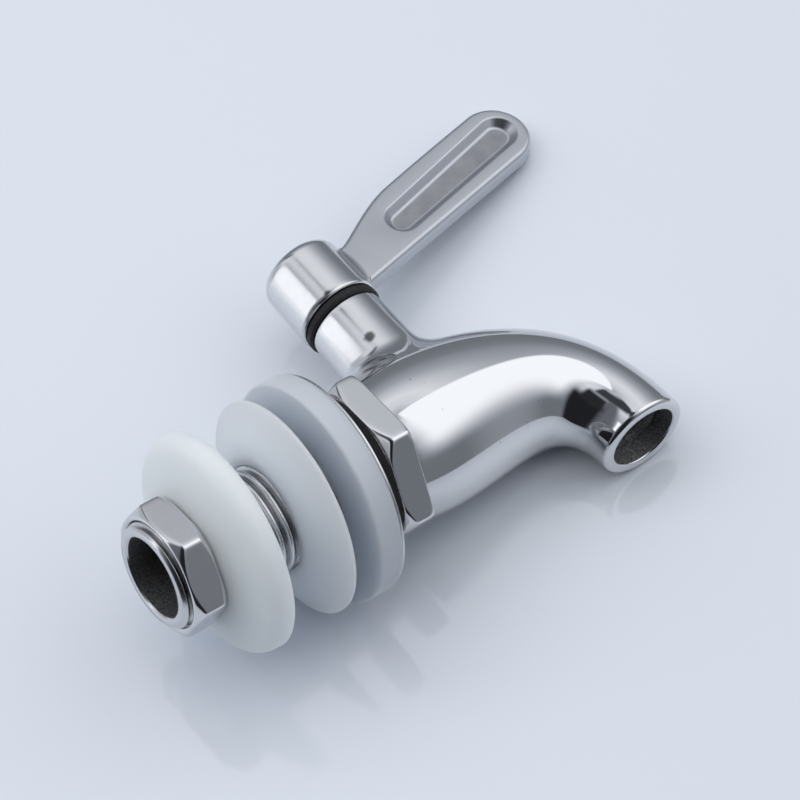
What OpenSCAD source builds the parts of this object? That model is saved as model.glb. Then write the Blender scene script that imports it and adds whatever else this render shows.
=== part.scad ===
// Stainless spigot for a wine barrel, with a quarter-turn ball valve.
// X runs along the threaded shank towards the spout and Z up the valve stem.
// The origin is where the shank's axis meets the seating face of the hex flange.

/* [Shank] */
// Length of the threaded shank behind the flange
shank_len = 34.6; // [30:0.5:60]
// Outer diameter of the thread
shank_d = 16; // [15.5:0.1:18]
// Diameter of the bore through the shank
bore_d = 12.2; // [12.1:0.1:12.6]
// Chamfer on the shank's free end
shank_chamfer = 0.6; // [0.2:0.1:1.2]

/* [Hex flange] */
// Width of the flange across its flats
flange_flats = 23.2; // [22:0.1:28]
// Thickness of the flange
flange_t = 4.5; // [3:0.1:7]
// Turn of the flange about the shank's axis
flange_turn = 24.8; // [0:0.1:60]
// Diameter of the round seating face
flange_face_d = 24; // [22:0.1:26]
// Small chamfer on the front corners
flange_front_chamfer = 0.4; // [0.1:0.1:1]

/* [Barrel and spout] */
// Radius of the barrel where it leaves the flange
barrel_r = 10.5; // [10.2:0.1:11.2]
// Control radius that swells the barrel round the valve
swell_r = 14.6; // [13.5:0.1:16]
// Control radius that thins the spout
waist_r = 6.45; // [6.2:0.05:8]
// Outer radius of the spout's lip
lip_r = 7.05; // [6.8:0.05:8]
// Distance from the seating face to the outlet's axis
outlet_x = 38.8; // [37:0.1:44]
// Depth of the outlet's lip below the shank's axis
outlet_drop = 17.8; // [17:0.1:24]
// Length over which the barrel leaves the flange straight
barrel_lead = 11.8; // [9:0.1:16]
// Length over which the spout comes down straight
spout_lead = 22; // [19:0.1:26]
// Diameter of the outlet bore
outlet_d = 10.6; // [9.6:0.1:11.4]
// Depth of the outlet bore
outlet_depth = 6; // [4:0.5:9]
// Diameter of the curved passage behind the outlet
passage_d = 8.4; // [6:0.1:9]
// Bend radius of the curved passage
passage_bend = 15; // [12:0.5:15.5]

/* [Neck] */
// Distance from the seating face to the stem's axis
stem_x = 15.4; // [14:0.1:16.5]
// Height of the neck's top above the shank's axis
neck_top = 22.7; // [20:0.1:28]
// Radius of the neck at its top
neck_r = 5.9; // [5.7:0.05:6.4]
// How far the neck flares at the shank's axis
neck_flare = 2; // [0.5:0.1:3]
// Rounding of the neck's top edge
neck_round = 0.4; // [0.1:0.1:0.8]

/* [Valve] */
// Diameter of the chamber that the ball and its seats slide into
chamber_d = 12; // [11.6:0.1:12]
// Diameter of the ball
ball_d = 11.2; // [10.6:0.1:11.4]
// Diameter of the hole through the ball
ball_bore_d = 6.8; // [5:0.1:7.4]
// Diameter of the hole through each seat
seat_bore_d = 7.2; // [6.8:0.1:7.8]
// Distance from the ball's centre to the back of each seat
seat_back = 6.6; // [6:0.1:8]
// Length of each seat
seat_len = 3.6; // [2.5:0.1:4]
// Length of the threaded ring that holds the rear seat
retainer_len = 3.8; // [2.5:0.1:6]
// Diameter of the stem in the neck
stem_d = 7; // [6.4:0.1:7.2]
// Diameter of the stem above its shoulder
spindle_d = 5; // [4.6:0.1:5.2]
// Width across the flats of the stem's square
square_w = 3.6; // [3.3:0.1:3.9]
// Length of the gland bush
bush_len = 4.2; // [3:0.1:6]
// Wall of the gland bush
bush_wall = 1.45; // [1.2:0.05:1.6]
// Thickness of the sliding washer under the bush
stem_washer_t = 0.8; // [0.5:0.1:1.5]
// Thickness of the rubber rings on the stem
stem_ring_t = 1.2; // [1:0.1:1.5]
// Width of the stem's tang
tang_w = 2; // [1.5:0.1:2.6]

/* [Handle] */
// Thickness of the dark ring under the hub
hub_ring_t = 1.4; // [1:0.1:2]
// Height of the hub
hub_h = 10.9; // [10.4:0.1:14]
// Radius of the hub at its lower rim
hub_r = 6.5; // [6.4:0.05:7.5]
// Radius of the hub below its rounded top
hub_top_r = 6.35; // [6.1:0.05:7.5]
// Rounding of the hub's top edge
hub_round = 1.4; // [0.5:0.1:2.5]
// Distance from the stem's axis to the centre of the paddle's tip
paddle_reach = 40.2; // [32:0.1:50]
// Height of the tip's centre above the hub's lower rim
paddle_rise = 15.2; // [13:0.1:20]
// Radius of the paddle's tip
paddle_tip_r = 5.5; // [5:0.1:7]
// Slope of the paddle in degrees
paddle_slope = 14.2; // [12:0.2:16]
// Degrees by which each edge of the paddle closes in towards the hub
paddle_taper = 1; // [0:0.1:1.5]
// Length of the paddle's straight upper edge
paddle_grip = 19.4; // [16:0.1:21]
// Thickness of the paddle
paddle_t = 3.4; // [2.8:0.1:5]
// Height of the paddle where it meets the hub
paddle_root_h = 7.7; // [7:0.1:8.2]
// Depth of the recess in each face of the paddle
recess_depth = 1.2; // [0.5:0.1:1.2]
// Radius of the recess at the tip
recess_tip_r = 3.05; // [2.6:0.05:3.6]
// Radius of the recess at the hub's end
recess_root_r = 2.7; // [2.2:0.05:3.2]
// Length of the recess between its two end centres
recess_len = 23.3; // [18:0.1:25]
// How much the recess narrows towards its floor
recess_draft = 0.75; // [0.3:0.05:1.2]
// Degrees from open to shut
handle_turn = 90; // [60:5:100]

/* [Nut and washers] */
// Width of the nut across its flats
nut_flats = 18; // [17.6:0.1:24]
// Thickness of the nut
nut_t = 5; // [4:0.1:8]
// Turn of the nut about the shank's axis
nut_turn = 20.8; // [0:0.1:60]
// Distance from the shank's free end to the nut
nut_inset = 1; // [0:0.1:3]
// Gap between the nut and the outer washer
nut_gap = 0.1; // [0.1:0.1:3]
// Diameter of the outer white washer
outer_washer_d = 33.4; // [30:0.1:38]
// Thickness of the outer washer's rim
outer_rim_t = 2.8; // [1:0.1:3.4]
// Height of the cone on the outer washer's face
outer_cone_h = 3.4; // [1:0.1:4]
// Distance from the seating face to the front of the inner washer
inner_washer_x = 11.7; // [10.5:0.1:13]
// Diameter of the inner white washer
inner_washer_d = 32.9; // [30:0.1:38]
// Thickness of the inner washer's rim
inner_rim_t = 0.5; // [0.4:0.1:2]
// Height of the cone on the inner washer's face
inner_cone_h = 3.1; // [1:0.1:4]
// Width of the flat lip round the hole of each white washer
washer_lip = 1.2; // [0.5:0.1:2]
// Diameter of the thick gasket
gasket_d = 34.1; // [30:0.1:38]
// Thickness of the thick gasket
gasket_t = 3.8; // [2:0.1:4.5]
// Distance by which the steel washer's rim stands inside the gasket's
steel_inset = 0.25; // [0:0.05:1]
// Thickness of the steel washer
steel_washer_t = 0.4; // [0.3:0.1:1.5]
// Gap left between the steel washer and the flange
seal_gap = 3.6; // [0.2:0.1:3.9]
// Rounding on the gasket's rim
rim_round = 0.5; // [0.1:0.1:0.9]

/* [Fits] */
// Radial clearance of the nut and washers on the thread
thread_clear = 0.08; // [0.03:0.01:0.1]
// Radial clearance of turning pieces
turn_clear = 0.05; // [0.02:0.01:0.08]
// Clearance of pieces that are pressed or screwed in
seat_clear = 0.02; // [0.01:0.01:0.05]

/* [Hidden] */
$fn = 96;
over = 0.5;
hair = 0.01;

barrel_rings = 30;
barrel_sides = 48;

shank_r = shank_d / 2;
bore_r = bore_d / 2;
chamber_r = chamber_d / 2;
passage_r = passage_d / 2;
outlet_r = outlet_d / 2;
ball_r = ball_d / 2;
stem_r = stem_d / 2;
spindle_r = spindle_d / 2;
neck_bore_r = stem_r + turn_clear;
bush_bore_r = spindle_r + turn_clear;
bush_r = bush_bore_r + bush_wall;
bush_base = neck_top - bush_len;
stem_shoulder = bush_base - stem_washer_t;
stem_lift = 0.6;
stem_foot = ball_r + stem_lift;
tang_depth = 1.2;
tang_clear = 0.08;
tang_half = seat_back - seat_len - 0.3;
ring_land = 3.4;
ring_spacing = 4;
groove_clear = 0.1;
lower_ring_z = stem_foot + ring_land;
upper_ring_z = lower_ring_z + ring_spacing;
ring_centre_r = neck_bore_r - stem_ring_t / 2 - seat_clear;

hub_gap = 0.1;
hub_base = neck_top + hub_ring_t + hub_gap;
hub_top = hub_base + hub_h;
square_foot = hub_base - 0.2;
screw_d = 2.5;
screw_hole_r = screw_d / 2 + 0.1;
tap_r = screw_d / 2 - 0.2;
tap_depth = 5;
screw_grip = 4;
screw_head_d = 4.5;
screw_head_h = 2.4;
screw_head_inset = 0.5;
screw_key = 2;
screw_key_depth = 1.3;
lock_washer_t = 0.6;
head_base = hub_top - screw_head_inset - screw_head_h;
web_top = head_base - lock_washer_t;
web_t = 1;
square_gap = 0.2;
square_top = web_top - web_t - square_gap;
counterbore_r = screw_head_d / 2 + 0.3;

stop_pin_r = 0.55;
stop_ring_r = (bush_r + neck_r) / 2;
stop_angle = 160;
stop_sunk = 2;
stop_up = 1.4;
stop_slot_r = stop_pin_r + 0.2;
stop_slot_depth = stop_up + 0.3;

washer_hole_r = shank_r + thread_clear;
steel_washer_x = -seal_gap - steel_washer_t;
gasket_x = steel_washer_x - gasket_t;
nut_x = nut_inset - shank_len;
outer_washer_x = nut_x + nut_t + nut_gap + outer_cone_h + outer_rim_t;

front_shoulder = stem_x + seat_back;
retainer_x = stem_x - seat_back - retainer_len;
retainer_hole_r = seat_bore_d / 2 + 0.2;
bore_end = retainer_x - 0.3;
relief_w = 0.7;
relief_r = bore_r + 0.4;

tenon_r = 1.3;
tenon_len = 2.2;
tenon_root = 1;
tenon_z = hub_base + paddle_root_h / 2 + 1.4;
paddle_sunk = 1.4;
shoulder_gap = 0.9;
shoulder_rise = 0.8;
shoulder_drop = 0.3;
shoulder_pull = [2.2, 0.5];
grip_pull = 5;
recess_shift = [0.6, 0.2];
recess_lean = 0.8;

function cubic(t, a, b, c, d) =
    pow(1 - t, 3) * a + 3 * pow(1 - t, 2) * t * b + 3 * (1 - t) * t * t * c + t * t * t * d;
function cubic_slope(t, a, b, c, d) =
    3 * pow(1 - t, 2) * (b - a) + 6 * (1 - t) * t * (c - b) + 3 * t * t * (d - c);

// The barrel's centre line, from inside the flange to the outlet's lip
barrel_start = flange_t - over;
line_a = [barrel_start, 0];
line_b = [barrel_start + barrel_lead, 0];
line_c = [outlet_x, spout_lead - outlet_drop];
line_d = [outlet_x, -outlet_drop];
function line_at(t) = cubic(t, line_a, line_b, line_c, line_d);
function slope_at(t) =
    let (s = cubic_slope(t, line_a, line_b, line_c, line_d)) s / norm(s);
function radius_at(t) = cubic(t, barrel_r, swell_r, waist_r, lip_r);

// One ring of points square to the centre line
function barrel_ring(t) =
    let (p = line_at(t), s = slope_at(t), r = radius_at(t))
    [for (k = [0 : barrel_sides - 1])
        let (a = 360 * k / barrel_sides, up = r * cos(a), side = r * sin(a))
        [p.x - up * s.y, side, p.y + up * s.x]];

module barrel_form() {
    points = [for (i = [0 : barrel_rings]) each barrel_ring(i / barrel_rings)];
    n = barrel_sides;
    walls = [for (i = [0 : barrel_rings - 1], k = [0 : n - 1])
        let (a = i * n + k, b = i * n + (k + 1) % n)
        each [[a, b, b + n], [a, b + n, a + n]]];
    back = [for (k = [n - 1 : -1 : 0]) k];
    front = [for (k = [0 : n - 1]) barrel_rings * n + k];
    polyhedron(points, concat(walls, [back, front]), convexity = 6);
}

// A solid of revolution about the X axis from [x, r] points
module turned_x(profile) {
    rotate([90, 0, 90])
        rotate_extrude()
            polygon([for (p = profile) [p.y, p.x]]);
}

// A solid of revolution about the stem's axis from [r, z] points
module turned_stem(profile) {
    translate([stem_x, 0, 0])
        rotate_extrude()
            polygon(profile);
}

module rod_x(x0, x1, r, z = 0) {
    translate([x0, 0, z])
        rotate([0, 90, 0])
            cylinder(h = x1 - x0, r = r);
}

// A hexagonal prism about the X axis with turned corners
module hexagon_x(x0, x1, flats, turn, back_r, back_depth, front_r, front_depth) {
    corner = flats / sqrt(3);
    intersection() {
        translate([x0, 0, 0])
            rotate([90, 0, 90])
                linear_extrude(x1 - x0)
                    rotate(turn)
                        circle(r = corner, $fn = 6);
        turned_x([[x0, 0], [x0, back_r], [x0 + back_depth, corner + hair],
                  [x1 - front_depth, corner + hair], [x1, front_r], [x1, 0]]);
    }
}

module shank() {
    turned_x([[-shank_len, 0], [-shank_len, shank_r - shank_chamfer],
              [-shank_len + shank_chamfer, shank_r], [over, shank_r], [over, 0]]);
}

module hex_flange() {
    corner = flange_flats / sqrt(3);
    hexagon_x(0, flange_t, flange_flats, flange_turn,
              flange_face_d / 2, corner - flange_face_d / 2,
              corner - flange_front_chamfer, flange_front_chamfer);
}

module neck_form() {
    steps = 10;
    flare = [for (i = [0 : steps])
        let (u = i / steps)
        [neck_r + neck_flare * u * u, (neck_top - neck_round) * (1 - u)]];
    turned_stem(concat([[0, 0], [0, neck_top], [neck_r - neck_round, neck_top]], flare));
}

module curved_passage() {
    rod_x(front_shoulder - over, outlet_x - passage_bend, passage_r);
    translate([outlet_x - passage_bend, 0, -passage_bend])
        rotate([90, 0, 0])
            rotate_extrude(angle = 90)
                translate([passage_bend, 0])
                    circle(r = passage_r);
    translate([outlet_x, 0, -outlet_drop - over])
        cylinder(h = outlet_depth + over, r = outlet_r);
    translate([outlet_x, 0, outlet_depth - outlet_drop])
        cylinder(h = outlet_r - passage_r, r1 = outlet_r, r2 = passage_r);
}

module body() {
    color("gainsboro")
        difference() {
            union() {
                shank();
                hex_flange();
                barrel_form();
                neck_form();
            }
            rod_x(-shank_len - over, bore_end, bore_r);
            rod_x(bore_end - relief_w, bore_end, relief_r);
            rod_x(bore_end - over, front_shoulder, chamber_r);
            curved_passage();
            translate([stem_x, 0, 0])
                cylinder(h = neck_top + over, r = neck_bore_r);
            translate([stem_x, 0, bush_base])
                cylinder(h = bush_len + over, r = bush_r + seat_clear);
            at_stop(stop_angle, neck_top - stop_sunk)
                cylinder(h = stop_sunk + over, r = stop_pin_r + seat_clear);
        }
}

// Places its children on the circle of the stop pin
module at_stop(angle, z) {
    translate([stem_x, 0, z])
        rotate(angle)
            translate([stop_ring_r, 0, 0])
                children();
}

// A seat ring whose hollow matches the ball; it is drawn for the front and mirrored
module seat_form() {
    difference() {
        rod_x(seat_back - seat_len, seat_back, chamber_r - seat_clear);
        rod_x(0, seat_back + over, seat_bore_d / 2);
        sphere(r = ball_r + turn_clear);
    }
}

module front_seat() {
    color("white")
        translate([stem_x, 0, 0])
            seat_form();
}

module rear_seat() {
    color("white")
        translate([stem_x, 0, 0])
            mirror([1, 0, 0])
                seat_form();
}

module seat_retainer() {
    slot_w = 2;
    slot_depth = 1.4;
    color("silver")
        difference() {
            rod_x(retainer_x, retainer_x + retainer_len, chamber_r - seat_clear);
            rod_x(retainer_x - over, retainer_x + retainer_len + over, retainer_hole_r);
            translate([retainer_x - over, -chamber_r, -slot_w / 2])
                cube([slot_depth + over, 2 * chamber_r, slot_w]);
        }
}

module ball() {
    color("silver")
        translate([stem_x, 0, 0])
            difference() {
                sphere(r = ball_r);
                rod_x(-ball_r - over, ball_r + over, ball_bore_d / 2);
                translate([-tang_w / 2 - tang_clear, -ball_r, ball_r - tang_depth - tang_clear])
                    cube([tang_w + 2 * tang_clear, 2 * ball_r, tang_depth + over]);
            }
}

// The groove that a rubber ring sits in
module ring_groove(z) {
    half = stem_ring_t / 2 + groove_clear;
    translate([stem_x, 0, z - half])
        difference() {
            cylinder(h = 2 * half, r = stem_r + over);
            translate([0, 0, -over])
                cylinder(h = 2 * half + 2 * over, r = ring_centre_r - stem_ring_t / 2);
        }
}

module stem() {
    color("silver")
        difference() {
            union() {
                turned_stem([[0, stem_foot], [stem_r, stem_foot], [stem_r, stem_shoulder],
                             [spindle_r, stem_shoulder], [spindle_r, square_foot],
                             [0, square_foot]]);
                translate([stem_x - tang_w / 2, -tang_half, ball_r - tang_depth])
                    cube([tang_w, 2 * tang_half, stem_foot - ball_r + tang_depth + over]);
                translate([stem_x, 0, 0])
                    intersection() {
                        translate([-square_w / 2, -square_w / 2, square_foot - over])
                            cube([square_w, square_w, square_top - square_foot + over]);
                        cylinder(h = hub_top, r = spindle_r);
                    }
            }
            ring_groove(lower_ring_z);
            ring_groove(upper_ring_z);
            translate([stem_x, 0, square_top - tap_depth])
                cylinder(h = tap_depth + over, r = tap_r);
        }
}

module stem_ring(z) {
    color("black")
        translate([stem_x, 0, z])
            rotate_extrude()
                translate([ring_centre_r, 0])
                    circle(r = stem_ring_t / 2);
}

module lower_stem_ring() { stem_ring(lower_ring_z); }

module upper_stem_ring() { stem_ring(upper_ring_z); }

module stem_washer() {
    color("white")
        turned_stem([[bush_bore_r, stem_shoulder], [stem_r, stem_shoulder],
                     [stem_r, bush_base], [bush_bore_r, bush_base]]);
}

module gland_bush() {
    slot_w = 1.2;
    slot_depth = 1;
    color("silver")
        difference() {
            turned_stem([[bush_bore_r, bush_base], [bush_r, bush_base],
                         [bush_r, neck_top], [bush_bore_r, neck_top]]);
            translate([stem_x - bush_r - over, -slot_w / 2, neck_top - slot_depth])
                cube([2 * bush_r + 2 * over, slot_w, slot_depth + over]);
        }
}

module stop_pin() {
    color("silver")
        at_stop(stop_angle, neck_top - stop_sunk)
            cylinder(h = stop_sunk + hub_ring_t + hub_gap + stop_up, r = stop_pin_r);
}

module hub_ring() {
    edge = 0.3;
    outer = hub_r - 0.25;
    inner = spindle_r + 0.4;
    pin_hole_r = stop_pin_r + 0.1;
    color("black")
        difference() {
            turned_stem([[inner, neck_top], [outer - edge, neck_top],
                         [outer, neck_top + edge], [outer, neck_top + hub_ring_t - edge],
                         [outer - edge, neck_top + hub_ring_t], [inner, neck_top + hub_ring_t]]);
            at_stop(stop_angle, neck_top - over)
                cylinder(h = hub_ring_t + 2 * over, r = pin_hole_r);
        }
}

// The hub's outside: a slight taper and a rounded top
module hub_form(grow = 0) {
    steps = 8;
    corner = [for (i = [0 : steps])
        let (a = 90 * i / steps)
        [hub_top_r - hub_round * (1 - cos(a)) + grow, hub_top - hub_round * (1 - sin(a)) + grow]];
    turned_stem(concat([[0, hub_base - grow], [hub_r + grow, hub_base - grow]],
                       corner, [[0, hub_top + grow]]));
}

// The arc under the hub that the stop pin runs in
module stop_slot() {
    translate([stem_x, 0, hub_base - over])
        rotate(stop_angle - handle_turn)
            rotate_extrude(angle = handle_turn)
                translate([stop_ring_r - stop_slot_r, 0])
                    square([2 * stop_slot_r, stop_slot_depth + over]);
    for (angle = [stop_angle - handle_turn, stop_angle])
        at_stop(angle, hub_base - over)
            cylinder(h = stop_slot_depth + over, r = stop_slot_r);
}

// The round tenon that joins the paddle to the hub
module tenon(grow = 0) {
    rod_x(stem_x + hub_r - tenon_len - grow, stem_x + hub_r + tenon_root, tenon_r + grow, tenon_z);
}

module handle_hub() {
    square_side = square_w + 2 * seat_clear;
    color("gainsboro")
        difference() {
            hub_form();
            translate([stem_x - square_side / 2, -square_side / 2, hub_base - over])
                cube([square_side, square_side, square_top + square_gap - hub_base + over]);
            translate([stem_x, 0, hub_base])
                cylinder(h = hub_h, r = screw_hole_r);
            translate([stem_x, 0, web_top])
                cylinder(h = hub_h, r = counterbore_r);
            stop_slot();
            tenon(seat_clear);
        }
}

// The paddle's outline in the plane of the stem, with X from the stem's axis
// and Y up from the hub's lower rim
module paddle_outline() {
    steps = 12;
    low_slope = paddle_slope - paddle_taper;
    top_slope = paddle_slope + paddle_taper;
    tip = [paddle_reach, paddle_rise];
    low_end = tip + paddle_tip_r * [sin(low_slope), -cos(low_slope)];
    tip_arc = [for (i = [0 : steps])
        let (a = low_slope - 90 + (180 + 2 * paddle_taper) * i / steps)
        tip + paddle_tip_r * [cos(a), sin(a)]];
    root_x = hub_top_r - paddle_sunk;
    root_low = [root_x, low_end.y - (low_end.x - root_x) * tan(low_slope)];
    shoulder = [hub_r + shoulder_gap, root_low.y + paddle_root_h + shoulder_rise];
    top_way = [cos(top_slope), sin(top_slope)];
    top_end = tip_arc[steps] - paddle_grip * top_way;
    top_curve = [for (i = [0 : steps])
        cubic(i / steps, top_end, top_end - grip_pull * top_way,
              shoulder + shoulder_pull, shoulder)];
    root_high = [root_x, shoulder.y - shoulder_drop];
    polygon(concat([root_low], tip_arc, top_curve, [root_high]));
}

// The recess in the paddle's face nearest the viewer, narrower at its floor
module recess_form() {
    slope = paddle_slope + recess_lean;
    tip = [paddle_reach, paddle_rise] + recess_shift;
    root = tip - recess_len * [cos(slope), sin(slope)];
    face = paddle_t / 2;
    hull() {
        recess_end(tip, recess_tip_r, face);
        recess_end(root, recess_root_r, face);
    }
}

module recess_end(centre, r, face) {
    translate([centre.x, -face + recess_depth, centre.y])
        rotate([90, 0, 0])
            cylinder(h = recess_depth + over, r1 = r - recess_draft,
                     r2 = r + recess_draft * over / recess_depth, $fn = 32);
}

module handle_paddle() {
    color("darkgray")
        union() {
            difference() {
                translate([stem_x, paddle_t / 2, hub_base])
                    rotate([90, 0, 0])
                        linear_extrude(paddle_t)
                            paddle_outline();
                hub_form(seat_clear);
                translate([stem_x, 0, hub_base]) {
                    recess_form();
                    mirror([0, 1, 0])
                        recess_form();
                }
            }
            tenon();
        }
}

module lock_washer() {
    split = 0.8;
    color("silver")
        translate([stem_x, 0, web_top])
            difference() {
                cylinder(h = lock_washer_t, r = screw_head_d / 2);
                translate([0, 0, -over])
                    cylinder(h = lock_washer_t + 2 * over, r = screw_hole_r);
                translate([-split / 2, 0, -over])
                    cube([split, screw_head_d, lock_washer_t + 2 * over]);
            }
}

module handle_screw() {
    screw_foot = square_top - screw_grip;
    color("silver")
        translate([stem_x, 0, 0])
            difference() {
                union() {
                    translate([0, 0, head_base])
                        cylinder(h = screw_head_h, r = screw_head_d / 2);
                    translate([0, 0, screw_foot])
                        cylinder(h = head_base - screw_foot + over, r = tap_r - seat_clear);
                }
                translate([0, 0, head_base + screw_head_h - screw_key_depth])
                    linear_extrude(screw_key_depth + over)
                        circle(r = screw_key / sqrt(3), $fn = 6);
            }
}

module hex_nut() {
    back_face_r = nut_flats / 2;
    front_face_r = back_face_r + 0.4;
    back_chamfer = 1.1;
    front_chamfer = 0.85;
    lead = 0.4;
    color("gainsboro")
        difference() {
            hexagon_x(nut_x, nut_x + nut_t, nut_flats, nut_turn,
                      back_face_r, back_chamfer, front_face_r, front_chamfer);
            turned_x([[nut_x - over, 0], [nut_x - over, washer_hole_r + lead + over],
                      [nut_x + lead, washer_hole_r], [nut_x + nut_t - lead, washer_hole_r],
                      [nut_x + nut_t + over, washer_hole_r + lead + over],
                      [nut_x + nut_t + over, 0]]);
        }
}

// A flat ring on the shank with rounded outer rims
module flat_ring(x0, t, outer_r, round_r) {
    steps = 4;
    back = [for (i = [0 : steps])
        let (a = 90 * i / steps)
        [x0 + round_r * (1 - sin(a)), outer_r - round_r * (1 - cos(a))]];
    front = [for (p = back) [2 * x0 + t - p.x, p.y]];
    turned_x(concat([[x0, washer_hole_r]], [for (i = [steps : -1 : 0]) back[i]],
                    front, [[x0 + t, washer_hole_r]]));
}

// A soft washer that is flat towards the spout and rises as a cone towards the nut
module coned_washer(front, rim_t, cone_h, outer_r) {
    edge = rim_t / 4;
    rim_back = front - rim_t;
    top = rim_back - cone_h;
    turned_x([[front, washer_hole_r], [top, washer_hole_r], [top, washer_hole_r + washer_lip],
              [rim_back, outer_r - edge], [rim_back + edge, outer_r],
              [front - edge, outer_r], [front, outer_r - edge]]);
}

module outer_washer() {
    color("white")
        coned_washer(outer_washer_x, outer_rim_t, outer_cone_h, outer_washer_d / 2);
}

module inner_washer() {
    color("white")
        coned_washer(-inner_washer_x, inner_rim_t, inner_cone_h, inner_washer_d / 2);
}

module seal_gasket() {
    color("lightsteelblue")
        flat_ring(gasket_x, gasket_t, gasket_d / 2, rim_round);
}

module steel_washer() {
    color("silver")
        flat_ring(steel_washer_x, steel_washer_t, gasket_d / 2 - steel_inset, steel_washer_t / 4);
}

body();
front_seat();
rear_seat();
seat_retainer();
ball();
stem();
lower_stem_ring();
upper_stem_ring();
stem_washer();
gland_bush();
stop_pin();
hub_ring();
handle_hub();
handle_paddle();
lock_washer();
handle_screw();
hex_nut();
outer_washer();
inner_washer();
seal_gasket();
steel_washer();
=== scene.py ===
"""Looks for a stainless barrel tap: polished casting, satin paddle, silicone washers.

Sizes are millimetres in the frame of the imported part, with X along the shank and Z up the stem.
"""
import math

import bmesh
import bpy
import numpy as np
from mathutils import Matrix, Vector
from mathutils.bvhtree import BVHTree


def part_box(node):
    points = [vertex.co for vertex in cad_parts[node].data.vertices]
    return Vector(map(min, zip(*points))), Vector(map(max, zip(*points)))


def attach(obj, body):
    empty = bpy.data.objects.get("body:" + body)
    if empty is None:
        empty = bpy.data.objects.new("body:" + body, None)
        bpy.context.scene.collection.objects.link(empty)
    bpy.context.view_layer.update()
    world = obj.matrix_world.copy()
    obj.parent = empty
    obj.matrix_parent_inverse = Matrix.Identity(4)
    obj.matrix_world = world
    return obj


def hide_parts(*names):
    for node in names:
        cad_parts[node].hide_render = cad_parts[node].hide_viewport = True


MM = 0.001

# Points round a plain round shape, and round the threaded shank
SIDES = 144
THREAD_SIDES = 112

# Shank and thread; the bore's wall is drawn from its end inside the body to the mouth
SHANK_LEN = 34.6
SHANK_R = 8.0
SHANK_CHAMFER = 0.6
BORE_R = 6.1
BORE_END = 4.7
BORE_MIDDLE = -20.0
BORE_LEDGE = 0.1
MOUTH_LEAD = 0.25
MOUTH_EDGE = 0.05
THREAD_PITCH = 1.5
THREAD_DEPTH = 0.7
THREAD_RUNOUT = 0.8
THREAD_END = 0.4
THREAD_STEPS = 11
# Shares of a pitch: the width of a flank, and how far the root's flat eats into it
THREAD_FLANK = 0.36
THREAD_ROOT = 0.12

# Hex flange and nut; pairs hold the value for the back and for the front
FLANGE_T = 4.5
FLANGE_FLATS = 23.2
FLANGE_TURN = 24.8
FLANGE_FACE_RS = (12.0, 13.0)
FLANGE_CHAMFERS = (1.39, 0.4)
FLANGE_CRISP = 70
SEAT_SINK = 0.2
SEAT_EDGE = 0.3
NUT_FLATS = 18.0
NUT_TURN = 20.8
NUT_FACE_RS = (9.0, 9.4)
NUT_CHAMFERS = (1.1, 0.85)
NUT_CRISP = 60
NUT_LEAD = 0.4
HEX_ROWS = 72
HEX_SIDE_POINTS = 26
HEX_BUNCHING = 1.7
HEX_FACE_LEAD = 0.2

# Washers and gasket; the rounds of a washer's rim are at its back and at its front
HOLE_R = 8.08
HOLE_ROUND = 0.15
WASHER_LIP = 1.2
WASHER_BEND = 0.6
OUTER_RIM = 2.8
OUTER_ROUNDS = (1.8, 0.2)
INNER_RIM = 0.5
INNER_ROUNDS = (0.15, 0.12)
GASKET_ROUND = 0.5
STEEL_WASHER_ROUND = 0.1
RING_STEP = 1.5

# Barrel and spout: control values for the cubic curves of the centre line and the radius
OUTLET_X = 38.8
OUTLET_Z = -17.8
LINE = ((4.0, 0.0), (15.8, 0.0), (OUTLET_X, 4.2), (OUTLET_X, OUTLET_Z))
RADII = (10.5, 14.6, 6.45, 7.05)
BARREL_ROWS = 120
# How far in under the barrel's skin the flange's front face runs
BARREL_SINK = 0.4
OUTLET_R = 5.3
OUTLET_DEPTH = 6.0
LIP_ROUND = 0.7
LIP_EDGE = 0.3
# The barrel's skin ends this far before the lip's rounding
LIP_LEAD = 0.5
PASSAGE_R = 4.2
PASSAGE_BEND = 15.0

# Neck; the probe finds the barrel under its foot
STEM_X = 15.4
NECK_TOP = 22.7
NECK_R = 5.9
NECK_HOLE_R = 3.0
NECK_EDGE = 0.4
NECK_FLARE = 2.0
NECK_FILLET = 3.0
NECK_FOOT_GUESS = 11.0
FILLET_PULL = 0.62
FILLET_LEAN = 0.02
PROBE_TOP = 30
PROBE_STEP = 0.1

# Small pits in the casting, and last a painted dark reflection on the neck: where, and how wide.
# Their edge is ragged, and the colour fades from a share of their reach to the whole of it
PIT_AND_REFLECTION_RAGGED = 0.5
PIT_AND_REFLECTION_REACH = 1.4
PIT_AND_REFLECTION_CORE = 0.6
PITS_AND_REFLECTION = (
    ((10.35, -11.45, 2.15), 0.15),
    ((11.58, -11.65, 0.36), 0.08),
    ((26.22, -6.58, -7.9), 0.12),
    ((23.41, -4.91, -9.26), 0.1),
    ((23.33, -4.43, -9.51), 0.12),
    ((23.3, -3.9, -9.74), 0.1),
    ((18.03, -4.75, -9.95), 0.13),
    ((11.28, -10.74, -4.25), 0.09),
    # not a pit: a painted dark reflection on the neck, where the fillet starts
    ((13.39, -5.77, 15.08), 0.95),
)

# Hub; its foot is a soft edge: how far in from the side, and how far up
HUB_BASE = 24.2
HUB_TOP = 35.1
HUB_R = 6.5
HUB_TOP_R = 6.35
HUB_HOLE_R = 2.7
HUB_ROUND = 1.8
HUB_FOOT = ((0.35, 0.0), (0.24, 0.03), (0.06, 0.2), (0.0, 0.35))
COUNTERBORE_R = 2.55
COUNTERBORE_DEPTH = 2.9
COUNTERBORE_LEAD = 0.15
SCREW_HOLE_R = 2.0

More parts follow.
